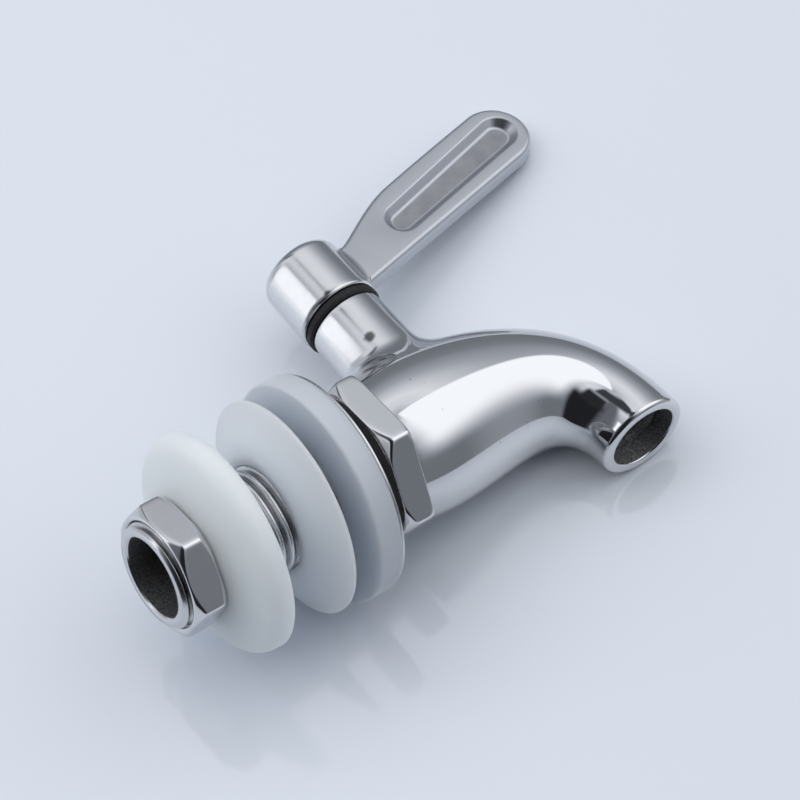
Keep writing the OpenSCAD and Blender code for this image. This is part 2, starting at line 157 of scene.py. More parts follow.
# Paddle; the pulls bend the curve from its grip to its shoulder at the hub
PADDLE_T = 3.4
PADDLE_TIP = (40.2, 15.2)
PADDLE_TIP_R = 5.5
PADDLE_SLOPE = 14.2
PADDLE_TAPER = 1.0
PADDLE_GRIP = 19.4
PADDLE_ROOT_H = 7.7
PADDLE_SINK = 1.4
PADDLE_EDGE = 0.8
PADDLE_BOW = 0.5
GRIP_PULL = 5
SHOULDER_OUT = 0.9
SHOULDER_RISE = 0.8
SHOULDER_DROP = 0.3
SHOULDER_PULL = (2.2, 0.5)
# The sharpest corner that inset follows in full
LEAST_LEAN = 0.4

# Hollow blend between the hub and the paddle: its span up the hub, its fillet in the middle
# and at the ends, and how far its hidden sides go under the hub and the paddle
ROOT_SPAN = (1.9, 9.4)
ROOT_FILLET = 1.8
ROOT_LEAST = 0.02
ROOT_SINK = 0.01
ROOT_DEPTH = 0.8
ROOT_LAP = 0.3
ROOT_LAP_TURN = 0.05

# Recess in the paddle's faces; its rim is how far out from the outline, and how deep
RECESS_DEPTH = 1.2
RECESS_DRAFT = 1.0
RECESS_TIP_R = 3.05
RECESS_ROOT_R = 2.7
RECESS_LEN = 23.3
RECESS_TURN = 0.8
RECESS_SHIFT = (0.6, 0.2)
RECESS_SIDES = 96
RECESS_RIM = ((0.25, 0.0), (0.12, 0.015), (0.0, 0.07), (-0.12, 0.19))

# Finish: where the polish grows softer up the neck, the turned faces' fine rings, and the
# radii between which the painted shade in the thread's grooves ends
SOFTER_FROM = 9.0
SOFTER_TO = 13.0
RING_WAVES = 25000
GROOVE_SHADE_FROM = SHANK_R - THREAD_DEPTH + 0.1
GROOVE_SHADE_TO = SHANK_R - 0.15
GROOVE_SHADE_FADE = 0.2
GROOVE_SHADE_RAGGED = 0.15

# The photograph's camera
CAMERA_AT = (-235.99, -443.60, -258.71)
CAMERA_RIGHT = (0.7971022, -0.0906662, -0.5969989)
CAMERA_UP = (0.4194798, -0.6280206, 0.6554593)
CAMERA_FOV = 11.42

# The table that the tap lies on, and how far its pale sheet reaches where steel mirrors it
FLOOR_UP = (-0.2220, -0.9750, -0.0104)
FLOOR_DROP = 15.66
FLOOR_REACH = 600
FLOOR_SHIFT = 20
SHEET_FRONT = 88
SHEET_BACK = 94
SHEET_RIGHT = 75
SHEET_FADE = 8

# The light tent and its lamp; the lamp's distance and size are metres, its power watts
TENT_TILT = 11.0
KEY_TURN = 60
KEY_RISE = 62
KEY_DISTANCE = 1.0
KEY_SIZE = 1.3
KEY_POWER = 4.9

# Soft boxes and cards round the table: the span of the turn and the softness of its two edges,
# the same for the height, and the brightness. Angles are in degrees: turns run from the camera's
# side towards the picture's left, heights from the tent's middle
SOFT_BOXES = (
    ((-112, -70), (10, 18), (-24, 20), (10, 20), 0.40),
    ((-130, -43), (5, 30), (24, 108), (34, 44), 1.32),
    ((90, 130), (12, 12), (-16, 32), (14, 14), 0.58),
    ((95, 116), (6, 6), (28, 60), (8, 8), 0.88),
    ((122, 134), (6, 6), (30, 58), (10, 10), 0.12),
    ((48, 72), (12, 12), (-28, 68), (14, 14), 0.17),
    ((3, 117), (16, 16), (65, 83), (8, 8), 0.06),
    ((-30, 50), (14, 14), (-42, 46), (16, 16), 0.02),
    ((-10, 50), (14, 14), (36, 64), (12, 12), 0.03),
    ((75, 91), (6, 6), (-7, 42), (8, 5), 1.40),
)

# Brightness of the plain surround by height above the tent's middle
SURROUND = ((-90, 0.22), (0, 0.22), (14, 0.23), (25, 0.27), (34, 0.38), (43, 0.49), (53, 0.72),
            (66, 0.97), (78, 0.87), (90, 0.55))
SEEN_STRENGTH = 0.8
SEEN_TINT = (0.975, 0.99, 1.03, 1)
DIM_TINT = (0.87, 0.94, 1.09, 1)

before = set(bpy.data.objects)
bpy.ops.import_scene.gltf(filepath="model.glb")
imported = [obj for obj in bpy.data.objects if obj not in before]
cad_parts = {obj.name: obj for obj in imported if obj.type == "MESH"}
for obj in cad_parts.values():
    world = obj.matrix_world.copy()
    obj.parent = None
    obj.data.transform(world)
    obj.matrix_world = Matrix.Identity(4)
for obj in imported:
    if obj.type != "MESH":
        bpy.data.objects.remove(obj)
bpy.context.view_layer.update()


# Curves, and rows of points

def cubic(t, points):
    """A point of a cubic curve, from its four control values."""
    a, b, c, d = points
    return (1 - t) ** 3 * a + 3 * (1 - t) ** 2 * t * b + 3 * (1 - t) * t * t * c + t ** 3 * d


def smooth_step(x):
    x = np.clip(x, 0, 1)
    return x * x * (3 - 2 * x)


def full_turn(sides=SIDES):
    """Angles of evenly spaced points round a circle."""
    return np.linspace(0, 2 * math.pi, sides, endpoint=False)


def quarter_turn(steps):
    """Angles from 0 to 90 degrees."""
    return [math.radians(90 * k / steps) for k in range(steps + 1)]


def about_shank(turns, profile):
    """Rows of points for a profile of (x, r) turned about the shank's axis."""
    return [[(x, r * math.cos(a), r * math.sin(a)) for a in turns] for x, r in profile]


def about_stem(profile):
    """Rows of points for a profile of (r, z) turned about the stem's axis."""
    return [[(STEM_X + r * math.cos(a), r * math.sin(a), z) for a in full_turn()]
            for r, z in profile]


def rounded(profile, radii, steps=5):
    """Replaces each corner of a closed profile by an arc-like curve of that reach."""
    out = []
    count = len(profile)
    for i, corner in enumerate(profile):
        corner = np.array(corner, float)
        before = np.array(profile[i - 1], float) - corner
        after = np.array(profile[(i + 1) % count], float) - corner
        start = corner + before / np.linalg.norm(before) * radii[i]
        end = corner + after / np.linalg.norm(after) * radii[i]
        for k in range(steps + 1):
            t = k / steps
            out.append(tuple((1 - t) ** 2 * start + 2 * t * (1 - t) * corner + t * t * end))
    return out


class Shell:
    """Collects grids of points, in millimetres, for one mesh."""

    def __init__(self):
        self.points = []
        self.faces = []
        self.finishes = []

    def grid(self, rows, finish=0):
        """Joins rows of points that each close on themselves; finish is the material's index."""
        rows = np.asarray(rows, float)
        count, width = rows.shape[:2]
        first = len(self.points)
        self.points.extend(rows.reshape(-1, 3).tolist())
        for i in range(count - 1):
            for k in range(width):
                a = first + i * width + k
                b = first + i * width + (k + 1) % width
                self.faces.append((a, b, b + width, a + width))
                self.finishes.append(finish)

    def fill(self, outer, inner=(), finish=0):
        """Fills a flat region between loops with triangles."""
        work = bmesh.new()
        for ring in (outer, inner):
            verts = [work.verts.new(p) for p in ring]
            for i, vert in enumerate(verts):
                work.edges.new((vert, verts[(i + 1) % len(verts)]))
        bmesh.ops.triangle_fill(work, use_beauty=True, use_dissolve=False, edges=work.edges[:])
        work.verts.index_update()
        first = len(self.points)
        self.points.extend([tuple(v.co) for v in work.verts])
        for face in work.faces:
            self.faces.append(tuple(first + v.index for v in face.verts))
            self.finishes.append(finish)
        work.free()

    def build(self, name, merge=0.0005):
        """Makes the mesh, with points closer than merge made one."""
        mesh = bpy.data.meshes.new(name)
        mesh.from_pydata([(x * MM, y * MM, z * MM) for x, y, z in self.points], [], self.faces)
        mesh.polygons.foreach_set("material_index", self.finishes)
        work = bmesh.new()
        work.from_mesh(mesh)
        bmesh.ops.remove_doubles(work, verts=work.verts, dist=merge * MM)
        bmesh.ops.dissolve_degenerate(work, edges=work.edges, dist=merge * MM)
        bmesh.ops.recalc_face_normals(work, faces=work.faces)
        work.to_mesh(mesh)
        work.free()
        mesh.shade_smooth()
        piece = bpy.data.objects.new(name, mesh)
        bpy.context.scene.collection.objects.link(piece)
        return piece


# Hexagonal rings: the flange and the nut

def chamfer_cones(half, corner, face_rs, depths):
    """The normal in (x, r) and the reach of the cone that chamfers each end."""
    cones = []
    for side, face_r, depth in zip((-1, 1), face_rs, depths):
        run = np.array([depth, corner - face_r])
        normal = np.array([run[1] * side, run[0]]) / np.linalg.norm(run)
        reach = normal[0] * side * half + normal[1] * face_r
        cones.append((normal, reach))
    return cones


def hex_rows(ends, flats, turn_deg, face_rs, depths, inner_rs, crisp):
    """Rows of the outside of a hexagonal ring with chamfered ends, from back to front.

    face_rs are the radii of the round end faces, depths those of their chamfers, and inner_rs
    the radii at which the end faces begin. Each edge is softened by adding the pull of all the
    planes to the power of crisp.
    """
    middle = (ends[0] + ends[1]) / 2
    half = (ends[1] - ends[0]) / 2
    apothem = flats / 2
    cones = chamfer_cones(half, flats / math.sqrt(3), face_rs, depths)
    share = np.linspace(-1, 1, HEX_SIDE_POINTS + 1)[:-1]
    bunched = np.sign(share) * (1 - (1 - np.abs(share)) ** HEX_BUNCHING)
    flat_ways = [math.radians(turn_deg + 30 + 60 * k) for k in range(6)]
    turns = np.concatenate([way + math.radians(30) * bunched for way in flat_ways])
    back_edge = math.atan2(inner_rs[0] + HEX_FACE_LEAD, -half)
    front_edge = math.atan2(inner_rs[1] + HEX_FACE_LEAD, half)
    rows = []
    for lean in np.linspace(back_edge, front_edge, HEX_ROWS):
        along = math.cos(lean)
        out = math.sin(lean)
        row = []
        for angle in turns:
            pulls = [abs(along) / half]
            for way in flat_ways:
                pulls.append(max(0.0, out * math.cos(angle - way) / apothem))
            for normal, reach in cones:
                pulls.append(max(0.0, (normal[0] * along + normal[1] * out) / reach))
            peak = max(pulls)
            size = 1 / (peak * sum((p / peak) ** crisp for p in pulls) ** (1 / crisp))
            r = size * out
            row.append((middle + size * along, r * math.cos(angle), r * math.sin(angle)))
        rows.append(row)
    return rows, turns


def make_nut():
    lo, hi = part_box("hex_nut")
    back = lo.x / MM
    front = hi.x / MM
    mouth_r = HOLE_R + NUT_LEAD
    rows, turns = hex_rows((back, front), NUT_FLATS, NUT_TURN, NUT_FACE_RS, NUT_CHAMFERS,
                           (mouth_r, mouth_r), NUT_CRISP)
    hole = about_shank(turns, [(front, mouth_r), (front - NUT_LEAD, HOLE_R),
                               (back + NUT_LEAD, HOLE_R), (back, mouth_r)])
    shell = Shell()
    shell.grid([hole[-1]] + rows + hole)
    return shell.build("nut_skin")


# The body: shank, flange, barrel with its spout, and neck

def thread_r(x, angle):
    """Radius of the threaded shank; the thread is right-handed and runs out at both ends."""
    phase = (x / THREAD_PITCH - angle / (2 * math.pi)) % 1.0
    crest = smooth_step((0.5 - np.abs(phase - 0.5)) / THREAD_FLANK - THREAD_ROOT)
    fade = smooth_step((x + SHANK_LEN) / THREAD_RUNOUT) * smooth_step(-x / THREAD_RUNOUT)
    chamfer = SHANK_R - SHANK_CHAMFER + (x + SHANK_LEN)
    return np.minimum(SHANK_R - THREAD_DEPTH * (1 - crest) * fade, chamfer)


def shank_rows():
    """The bore's wall, and the shank's end with its thread."""
    turn = full_turn(THREAD_SIDES)
    mouth = (-SHANK_LEN + MOUTH_LEAD, BORE_R)
    bore = about_shank(turn, [(BORE_END, BORE_R - BORE_LEDGE), (BORE_END, BORE_R),
                              (BORE_MIDDLE, BORE_R), mouth])
    thread = about_shank(turn, [mouth,
                                (-SHANK_LEN + MOUTH_EDGE, BORE_R + MOUTH_LEAD - MOUTH_EDGE),
                                (-SHANK_LEN, BORE_R + MOUTH_LEAD)])
    for x in np.arange(-SHANK_LEN, THREAD_END, THREAD_PITCH / THREAD_STEPS):
        r = thread_r(x, turn)
        thread.append(np.stack([np.full(len(turn), x), r * np.cos(turn), r * np.sin(turn)], 1))
    return bore, thread


def line_at(t):
    """The barrel's centre line, as (x, z)."""
    return np.array([cubic(t, [p[0] for p in LINE]), cubic(t, [p[1] for p in LINE])])


def barrel_rows():
    """The barrel and its spout, up to just before the lip."""
    turn = full_turn()
    rows = []
    small = 1e-4
    end_fall = 3 * (LINE[2][1] - LINE[3][1])
    for t in np.linspace(0, 1 - (LIP_ROUND + LIP_LEAD) / end_fall, BARREL_ROWS):
        x, z = line_at(t)
        ahead = line_at(t + small) - line_at(t - small)
        ahead /= np.linalg.norm(ahead)
        r = cubic(t, RADII)
        up = r * np.cos(turn)
        rows.append(np.stack([x - up * ahead[1], r * np.sin(turn), z + up * ahead[0]], 1))
    return rows


def outlet_rows():
    """The lip, and the outlet bore with the curved passage behind it."""
    turn = full_turn()

    def level(r, z):
        return np.stack([OUTLET_X + r * np.cos(turn), r * np.sin(turn), np.full(SIDES, z)], 1)

    lip = []
    for a in quarter_turn(8):
        lip.append(level(RADII[3] - LIP_ROUND * (1 - math.cos(a)),
                         OUTLET_Z + LIP_ROUND * (1 - math.sin(a))))
    for a in quarter_turn(5):
        lip.append(level(OUTLET_R + LIP_EDGE * (1 - math.sin(a)),
                         OUTLET_Z + LIP_EDGE * (1 - math.cos(a))))
    step_z = OUTLET_Z + OUTLET_DEPTH
    passage = [level(OUTLET_R, OUTLET_Z + LIP_EDGE), level(OUTLET_R, step_z),
               level(PASSAGE_R, step_z + OUTLET_R - PASSAGE_R)]
    centre = np.array([OUTLET_X - PASSAGE_BEND, -PASSAGE_BEND])
    spread = PASSAGE_R * np.cos(turn)
    for a in quarter_turn(16):
        out = np.array([math.cos(a), math.sin(a)])
        x, z = centre + PASSAGE_BEND * out
        passage.append(np.stack([x + spread * out[0], PASSAGE_R * np.sin(turn),
                                 z + spread * out[1]], 1))
    return lip, passage


def neck_r(z):
    """Radius of the neck, which flares towards its foot."""
    u = 1 - z / (NECK_TOP - NECK_EDGE)
    return NECK_R + NECK_FLARE * u * u


def neck_column(angle, barrel_z):
    """The neck's side and its fillet as (r, z), at one turn round the stem."""
    foot_r = neck_r(barrel_z(neck_r(NECK_FOOT_GUESS), angle))
    start_z = barrel_z(foot_r, angle) + NECK_FILLET
    end_r = foot_r + NECK_FILLET
    beyond = barrel_z(end_r + PROBE_STEP, angle)
    fall = (beyond - barrel_z(end_r - PROBE_STEP, angle)) / (2 * PROBE_STEP)
    column = [(neck_r(z), z) for z in np.linspace(NECK_TOP - NECK_EDGE, start_z, 16)[1:]]
    start = np.array([neck_r(start_z), start_z])
    end = np.array([end_r, barrel_z(end_r, angle)])
    pull = FILLET_PULL * NECK_FILLET
    along = np.array([1.0, fall]) / math.hypot(1, fall)
    control = [start, start + [FILLET_LEAN, -pull], end - pull * along, end]
    column += [tuple(cubic(k / 14, control)) for k in range(1, 15)]
    return column


def neck_rows(barrel_tree):
    """The neck from its top down, ending in a fillet that runs out on the barrel."""

    def barrel_z(radius, angle):
        start = Vector((STEM_X + radius * math.cos(angle), radius * math.sin(angle), PROBE_TOP))
        hit = barrel_tree.ray_cast(start * MM, Vector((0, 0, -1)))[0]
        return hit.z / MM

    top = [(NECK_HOLE_R, NECK_TOP)]
    for a in quarter_turn(5):
        top.append((NECK_R - NECK_EDGE * (1 - math.sin(a)),
                    NECK_TOP - NECK_EDGE * (1 - math.cos(a))))
    columns = []
    for angle in full_turn():
        columns.append([(STEM_X + r * math.cos(angle), r * math.sin(angle), z)
                        for r, z in top + neck_column(angle, barrel_z)])
    return np.transpose(np.array(columns), (1, 0, 2))


def make_body():
    """The casting: plain polish, then the rough bore with painted shade, the thread with painted
    shade in its grooves, and the rough outlet with lighter painted shade.
    """
    lip, passage = outlet_rows()
    shell = Shell()
    shell.grid(barrel_rows() + lip[:1])
    barrel = shell.build("body_skin")
    tree = BVHTree.FromObject(barrel, bpy.context.evaluated_depsgraph_get())
    bpy.data.objects.remove(barrel)
    shell.grid(lip)
    shell.grid(passage, finish=3)
    bore, thread = shank_rows()
    shell.grid(bore, finish=1)
    shell.grid(thread, finish=2)
    seat_r = SHANK_R - THREAD_DEPTH - SEAT_SINK
    front_r = RADII[0] - BARREL_SINK
    rows, turns = hex_rows((0, FLANGE_T), FLANGE_FLATS, FLANGE_TURN, FLANGE_FACE_RS,
                           FLANGE_CHAMFERS, (seat_r, front_r), FLANGE_CRISP)
    # painted shade: the seat face behind the steel washer takes the dark bore material, for the
    # shaded gap
    seat = sum(1 for row in rows if row[0][0] < FLANGE_T / 2
               and math.hypot(row[0][1], row[0][2]) < FLANGE_FACE_RS[0] - SEAT_EDGE)
    shell.grid(about_shank(turns, [(0.0, seat_r)]) + rows[:seat], finish=1)
    shell.grid(rows[seat - 1:] + about_shank(turns, [(FLANGE_T, front_r)]))
    shell.grid(neck_rows(tree))
    return shell.build("body_skin")


# Handle

def make_hub():
    profile = [(HUB_HOLE_R, HUB_BASE)]
    profile += [(HUB_R - inward, HUB_BASE + up) for inward, up in HUB_FOOT]
    side_start = HUB_BASE + HUB_FOOT[-1][1]
    for k in range(1, 12):
        t = k / 12
        profile.append((HUB_R + t * (HUB_TOP_R - HUB_R),
                        side_start + t * (HUB_TOP - HUB_ROUND - side_start)))
    for a in quarter_turn(10):
        profile.append((HUB_TOP_R - HUB_ROUND * (1 - math.cos(a)),
                        HUB_TOP - HUB_ROUND * (1 - math.sin(a))))
    screw_seat = HUB_TOP - COUNTERBORE_DEPTH
    profile += [(COUNTERBORE_R + COUNTERBORE_LEAD, HUB_TOP),
                (COUNTERBORE_R, HUB_TOP - COUNTERBORE_LEAD),
                (COUNTERBORE_R, screw_seat), (SCREW_HOLE_R, screw_seat)]
    shell = Shell()
    shell.grid(about_stem(profile))
    return shell.build("hub_skin")


def between(a, b, count):
    """The points that cut the way from a to b into count pieces."""
    return [a + (b - a) * k / count for k in range(1, count)]


def paddle_loop():
    """The paddle's outline as (x from the stem, z from the hub's rim), anticlockwise."""
    low = math.radians(PADDLE_SLOPE - PADDLE_TAPER)
    top = math.radians(PADDLE_SLOPE + PADDLE_TAPER)
    tip = np.array(PADDLE_TIP)
    arc = []
    for a in np.linspace(low - math.pi / 2, top + math.pi / 2, 49):
        arc.append(tip + PADDLE_TIP_R * np.array([math.cos(a), math.sin(a)]))
    root_x = HUB_TOP_R - PADDLE_SINK
    root_low = np.array([root_x, arc[0][1] - (arc[0][0] - root_x) * math.tan(low)])
    shoulder = np.array([HUB_R + SHOULDER_OUT, root_low[1] + PADDLE_ROOT_H + SHOULDER_RISE])
    root_high = np.array([root_x, shoulder[1] - SHOULDER_DROP])
    way = np.array([math.cos(top), math.sin(top)])
    top_end = arc[-1] - PADDLE_GRIP * way
    control = [top_end, top_end - GRIP_PULL * way, shoulder + SHOULDER_PULL, shoulder]
    back = between(arc[-1], top_end, 24) + [cubic(t, control) for t in np.linspace(0, 1, 33)]
    across = np.array([-way[1], way[0]])
    for k, point in enumerate(back):
        back[k] = point + PADDLE_BOW * math.sin(math.pi * (k + 1) / len(back)) * across
    loop = [root_low] + between(root_low, arc[0], 40) + arc + back
    loop += between(shoulder, root_high, 3) + [root_high] + between(root_high, root_low, 8)
    return np.array(loop)


def inset(loop, distance):
    """Moves each point of a closed anticlockwise loop inwards."""
    after = np.roll(loop, -1, 0) - loop
    before = loop - np.roll(loop, 1, 0)
    after /= np.linalg.norm(after, axis=1)[:, None]
    before /= np.linalg.norm(before, axis=1)[:, None]
    way = after + before
    way /= np.linalg.norm(way, axis=1)[:, None]
    lean = np.maximum(LEAST_LEAN, np.sum(way * after, axis=1))
    return loop + distance * np.stack([-way[:, 1], way[:, 0]], 1) / lean[:, None]


def recess_loop(grow):
    """The recess's outline, moved out by grow."""
    slope = math.radians(PADDLE_SLOPE + RECESS_TURN)
    tip = np.array(PADDLE_TIP) + RECESS_SHIFT
    root = tip - RECESS_LEN * np.array([math.cos(slope), math.sin(slope)])
    loop = []
    for k in range(RECESS_SIDES):
        a = 2 * math.pi * (k + 0.5) / RECESS_SIDES
        centre, r = (tip, RECESS_TIP_R) if math.cos(a) > 0 else (root, RECESS_ROOT_R)
        loop.append(centre + (r + grow) * np.array([math.cos(a + slope), math.sin(a + slope)]))
    return np.array(loop)


def root_rows(side):
    """The hollow blend between the hub and one face of the paddle, as closed sections."""
    half = PADDLE_T / 2
    low, high = ROOT_SPAN
    rows = []
    for turn in np.linspace(0, math.pi, 41):
        z = (low + high) / 2 - (high - low) / 2 * math.cos(turn)
        fillet = ROOT_LEAST + ROOT_FILLET * math.sin(turn)
        hub_r = HUB_R + z / (HUB_TOP - HUB_BASE) * (HUB_TOP_R - HUB_R)
        skin_r = hub_r - ROOT_SINK
        middle_y = half + fillet
        middle_x = math.sqrt((hub_r + fillet) ** 2 - middle_y ** 2)
        on_hub = math.atan2(middle_y, middle_x) + ROOT_LAP_TURN
        section = [(hub_r - ROOT_DEPTH, half),
                   (skin_r * math.cos(on_hub), skin_r * math.sin(on_hub))]
        start = math.atan2(-middle_y, -middle_x)
        for a in np.linspace(start, -math.pi / 2, 15):
            section.append((middle_x + fillet * math.cos(a), middle_y + fillet * math.sin(a)))
        section.append((middle_x + ROOT_LAP, half - ROOT_SINK))
        rows.append([(STEM_X + x, side * y, HUB_BASE + z) for x, y in section])
    first = [np.mean(rows[0], axis=0)] * len(rows[0])
    last = [np.mean(rows[-1], axis=0)] * len(rows[-1])
    return [first] + rows + [last]


def recess_wall():
    """The recess's side from rim to floor: how far out from its outline, and how deep."""
    foot = [(-RECESS_DRAFT * 0.85, RECESS_DEPTH * 0.8), (-RECESS_DRAFT, RECESS_DEPTH * 0.93),
            (-RECESS_DRAFT - 0.18, RECESS_DEPTH * 0.99), (-RECESS_DRAFT - 0.4, RECESS_DEPTH)]
    return list(RECESS_RIM) + foot


def make_paddle():
    """The paddle, with a recess in each face; the recess's floor is the second material."""
    half = PADDLE_T / 2
    loop = paddle_loop()
    wall = recess_wall()
    shell = Shell()

    def lifted(points, y):
        return [(STEM_X + x, y, HUB_BASE + z) for x, z in points]

    rim = []
    for a in quarter_turn(8):
        rim.append((PADDLE_EDGE * (1 - math.sin(a)), half - PADDLE_EDGE * (1 - math.cos(a))))
    rows = [lifted(inset(loop, d), -y) for d, y in rim]
    rows += [lifted(inset(loop, d), y) for d, y in reversed(rim)]
    shell.grid(rows)
    for side in (-1, 1):
        shell.grid(root_rows(side))
        shell.grid([lifted(recess_loop(grow), side * (half - depth)) for grow, depth in wall])
        shell.fill(lifted(inset(loop, PADDLE_EDGE), side * half),
                   lifted(recess_loop(wall[0][0]), side * half))
        shell.fill(lifted(recess_loop(wall[-1][0]), side * (half - RECESS_DEPTH)), finish=1)
    return shell.build("paddle_skin", merge=0.002)


# Washers and gasket

def extent(node_name):
    """The node's back, front and outer radius, in millimetres."""
    lo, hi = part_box(node_name)
    return lo.x / MM, hi.x / MM, (hi.y - lo.y) / 2 / MM


def ring_piece(name, corners, rounds):
    """A ring on the shank, from the corners (x, r) of its section and their roundings."""
    profile = rounded(corners, rounds)
    section = []
    for i, point in enumerate(profile):
        start = np.array(point)
        end = np.array(profile[(i + 1) % len(profile)])
        pieces = int(math.dist(start, end) / RING_STEP) + 1
        section += [start] + between(start, end, pieces)
    section.append(section[0])
    shell = Shell()
    shell.grid(about_shank(full_turn(), section))
    return shell.build(name)


def flat_ring(node_name, name, outer_round):
    back, front, outer = extent(node_name)
    return ring_piece(name, [(back, HOLE_R), (back, outer), (front, outer), (front, HOLE_R)],
                      [outer_round / 2, outer_round, outer_round, outer_round / 2])


def coned_ring(node_name, name, rim, rim_rounds):
    """A washer that rises as a cone towards the nut, with a flat lip round its hole."""
    back, front, outer = extent(node_name)
    corners = [(back, HOLE_R), (back, HOLE_R + WASHER_LIP), (front - rim, outer),
               (front, outer), (front, HOLE_R)]
    return ring_piece(name, corners,
                      [HOLE_ROUND, WASHER_BEND, *rim_rounds, HOLE_ROUND])


# Nodes of a material

def node(tree, kind, inputs=None, **settings):
    """A new node; each input is a plain value, or another node's output to link."""
    made = tree.nodes.new(kind)
    for key, value in settings.items():
        setattr(made, key, value)
    for key, value in (inputs or {}).items():
        if isinstance(value, bpy.types.NodeSocket):
            tree.links.new(value, made.inputs[key])
        else:
            made.inputs[key].default_value = value
    return made


def math_node(tree, operation, a, b=0.0, c=0.0):
    """The result of a sum on numbers or on the outputs of other nodes."""
    return node(tree, "ShaderNodeMath", {0: a, 1: b, 2: c}, operation=operation).outputs[0]


def object_place(tree):
    return node(tree, "ShaderNodeTexCoord").outputs["Object"]


def split_place(tree):
    return node(tree, "ShaderNodeSeparateXYZ", {"Vector": object_place(tree)}).outputs


def noise(tree, scale, detail, rough=0.5):
    """A pattern in the piece's own space; scale is its grains to the metre."""
    return node(tree, "ShaderNodeTexNoise",
                {"Vector": object_place(tree), "Scale": scale, "Detail": detail,
                 "Roughness": rough}).outputs["Fac"]


def mapped(tree, value, low, high, to_low, to_high):
    """Brings a value from one range to another, and keeps it there."""
    return node(tree, "ShaderNodeMapRange", {"Value": value, "From Min": low, "From Max": high,
                                             "To Min": to_low, "To Max": to_high}).outputs[0]


def mixed(tree, share, first, second):
    """A colour between two others; 6, 7 and 2 are the mix node's places for colours."""
    return node(tree, "ShaderNodeMix", {"Factor": share, 6: first, 7: second},
                data_type="RGBA").outputs[2]


def vector_node(tree, operation, a, b):
    return node(tree, "ShaderNodeVectorMath", {0: a, 1: tuple(b)},
                operation=operation).outputs["Value"]


class Look:
    """A material with plain values, whose other inputs are fed by nodes."""

    def __init__(self, name, values):
        self.material = bpy.data.materials.new(name)
        self.material.use_nodes = True
        self.tree = self.material.node_tree
        self.shader = self.tree.nodes["Principled BSDF"]
        for key, value in values.items():
            self.shader.inputs[key].default_value = value

    def feed(self, key, value):
        self.tree.links.new(value, self.shader.inputs[key])

    def bump(self, height, strength, depth):
        """Roughens the surface by a pattern of heights; depth is in millimetres."""
        self.feed("Normal", node(self.tree, "ShaderNodeBump",
                                 {"Height": height, "Strength": strength,
                                  "Distance": depth * MM}).outputs["Normal"])


# Materials

def pit_and_reflection_share(tree):
    """1 in the casting's pits and in the painted dark reflection on the neck, 0 elsewhere."""
    ragged = math_node(tree, "MULTIPLY", noise(tree, 1500, 1), PIT_AND_REFLECTION_RAGGED * MM)
    share = 0.0
    for place, radius in PITS_AND_REFLECTION:
        off = vector_node(tree, "DISTANCE", object_place(tree), [c * MM for c in place])
        off = math_node(tree, "MULTIPLY_ADD", ragged, min(1.0, 2 * radius), off)
        reach = PIT_AND_REFLECTION_REACH * radius * MM
        dark = mapped(tree, off, PIT_AND_REFLECTION_CORE * reach, reach, 1, 0)
        share = math_node(tree, "MAXIMUM", share, dark)
    return share


def polished_steel():
    """Hand-polished casting; its polish is softer towards the top of the neck and on the hub."""
    look = Look("polished_steel", {"Metallic": 1.0})
    tree = look.tree
    # the base colour darkens the real pits, and a painted dark reflection on the neck
    look.feed("Base Color", mixed(tree, pit_and_reflection_share(tree), (0.70, 0.705, 0.715, 1),
                                  (0.13, 0.13, 0.135, 1)))
    softer = mapped(tree, split_place(tree)["Z"], SOFTER_FROM * MM, SOFTER_TO * MM, 0, 0.11)
    grain = mapped(tree, noise(tree, 900, 3), 0.3, 0.7, 0.035, 0.075)
    look.feed("Roughness", math_node(tree, "ADD", grain, softer))
    look.bump(noise(tree, 90, 1), 0.05, 0.6)
    return look.material


def machined_steel(base, rough, groove_shade=False):
    """Turned steel with fine rings about the shank, and with painted shade darkening a thread's
    grooves.

    Without that shade the steel is even all over, as on the nut.
    """
    steel_colour = (base, base, base * 1.01, 1)
    look = Look("machined_steel", {"Metallic": 1.0, "Base Color": steel_colour})
    tree = look.tree
    split = split_place(tree)
    squares = [math_node(tree, "POWER", split[axis], 2.0) for axis in ("Y", "Z")]
    radius = math_node(tree, "SQRT", math_node(tree, "ADD", *squares))
    grain = noise(tree, 1800, 3)
    if groove_shade:
        uneven = math_node(tree, "MULTIPLY_ADD", grain, GROOVE_SHADE_RAGGED * MM, radius)
        crest = mapped(tree, uneven, GROOVE_SHADE_FROM * MM, GROOVE_SHADE_TO * MM, 0, 1)
        end = SHANK_CHAMFER - SHANK_LEN
        tip = mapped(tree, split["X"], end * MM, (end + GROOVE_SHADE_FADE) * MM, 1, 0)
        unshaded = math_node(tree, "MAXIMUM", crest, tip)
        # painted shade: the base colour is darkened in the thread's grooves, and not on the
        # shank's end face
        painted_shade_colour = (base * 0.3, base * 0.3, base * 0.31, 1)
        look.feed("Base Color", mixed(tree, unshaded, painted_shade_colour, steel_colour))
    look.feed("Roughness", mapped(tree, grain, 0.3, 0.7, rough * 0.85, rough * 1.15))
    rings = math_node(tree, "SINE", math_node(tree, "MULTIPLY", radius, RING_WAVES))
    height = math_node(tree, "ADD", math_node(tree, "MULTIPLY", grain, 0.4),
                       math_node(tree, "MULTIPLY", rings, 0.25))
    look.bump(height, 0.1, 0.03)
    return look.material


def shaded_rough_bore(name, light):
    """The unpolished inside of the casting, with painted shade in its dark base colour; light is
    its brightest speckle.
    """
    look = Look(name, {"Metallic": 0.7, "Roughness": 0.62})
    grain = noise(look.tree, 3500, 4, 0.7)
    # painted shade: the base colour is kept dark, as shade falls inside the bore and the outlet
    look.feed("Base Color", mapped(look.tree, grain, 0.35, 0.7, 0.2 * light, light))
    look.bump(grain, 0.5, 0.1)
    return look.material


